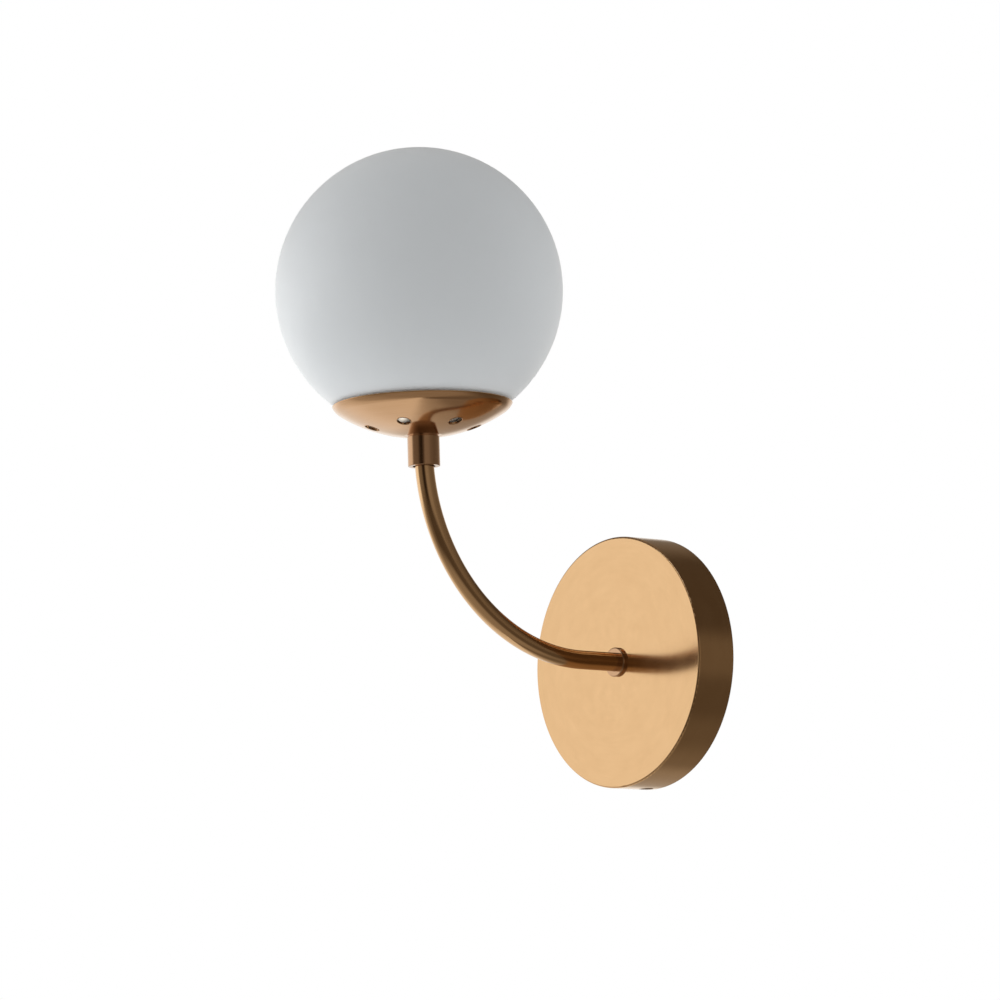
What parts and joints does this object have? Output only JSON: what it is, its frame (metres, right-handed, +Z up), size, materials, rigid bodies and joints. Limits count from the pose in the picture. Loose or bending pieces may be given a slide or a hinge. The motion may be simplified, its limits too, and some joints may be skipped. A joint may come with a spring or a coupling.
{
  "type": "globe wall sconce",
  "caption": "Wall light with an opal glass globe in a spun dish on a curved tube arm, carried by a round wall cover over a screwed bracket.",
  "frame": {"origin": "centre of the wall cover on the wall's surface, at the middle between the bracket's two wall slots", "axes": "+Z up, +Y into the wall, -Y out into the room along the arm's foot, +X to the right seen from the room"},
  "size_m": [0.15, 0.2255, 0.3303],
  "materials": {
    "satin_brass": "satin, fine spun brushing",
    "spun_brass": "semi-gloss, spun",
    "zinc_steel": "zinc plated",
    "spring_steel": "bright",
    "opal_glass": "satin opal",
    "silicone": "matt, translucent white",
    "white_nylon": "matt white",
    "porcelain": "unglazed white",
    "contact_brass": "bright",
    "brown_lead": "matt brown insulation",
    "blue_lead": "matt blue insulation",
    "green_yellow_lead": "matt green and yellow insulation",
    "bulb_metal": "nickel plated",
    "black_glass": "gloss black",
    "bulb_white": "semi-gloss white"
  },
  "bodies": {
    "wall_unit": {"wall_bracket": "zinc_steel", "side_screws": "zinc_steel", "wall_cover": "satin_brass", "wall_collar": "satin_brass", "tube_nut": "zinc_steel", "tube_lock_washer": "zinc_steel", "tube_grommet": "white_nylon", "arm_tube": "satin_brass", "coupler_sleeve": "satin_brass", "dish_washer": "zinc_steel", "globe_dish": "spun_brass", "globe_seat_ring": "silicone", "threaded_stem": "zinc_steel", "spring_spider": "spring_steel", "dish_lock_washer": "zinc_steel", "dish_nut": "zinc_steel", "lampholder_cap": "white_nylon", "lampholder_skirt": "white_nylon", "contact_block": "porcelain", "screw_shell": "contact_brass", "centre_contact": "contact_brass", "terminal_block": "white_nylon", "terminal_barrels": "contact_brass", "terminal_screws": "zinc_steel", "block_screw": "zinc_steel", "earth_tag": "contact_brass", "earth_screw": "contact_brass", "live_lead": "brown_lead", "neutral_lead": "blue_lead", "earth_lead": "green_yellow_lead"},
    "globe": {"globe_glass": "opal_glass"},
    "bulb": {"bulb_button": "bulb_metal", "bulb_insulator": "black_glass", "bulb_cap": "bulb_metal", "bulb_housing": "bulb_white", "bulb_ball": "bulb_white"}
  },
  "joints": [
    {"name": "globe_lift", "type": "slide", "parent": "wall_unit", "child": "globe", "axis": [0, 0, 1], "range_m": [0, 0.115]},
    {"name": "bulb_unscrew", "type": "slide", "parent": "wall_unit", "child": "bulb", "axis": [0, 0, 1], "range_m": [0, 0.025]}
  ]
}
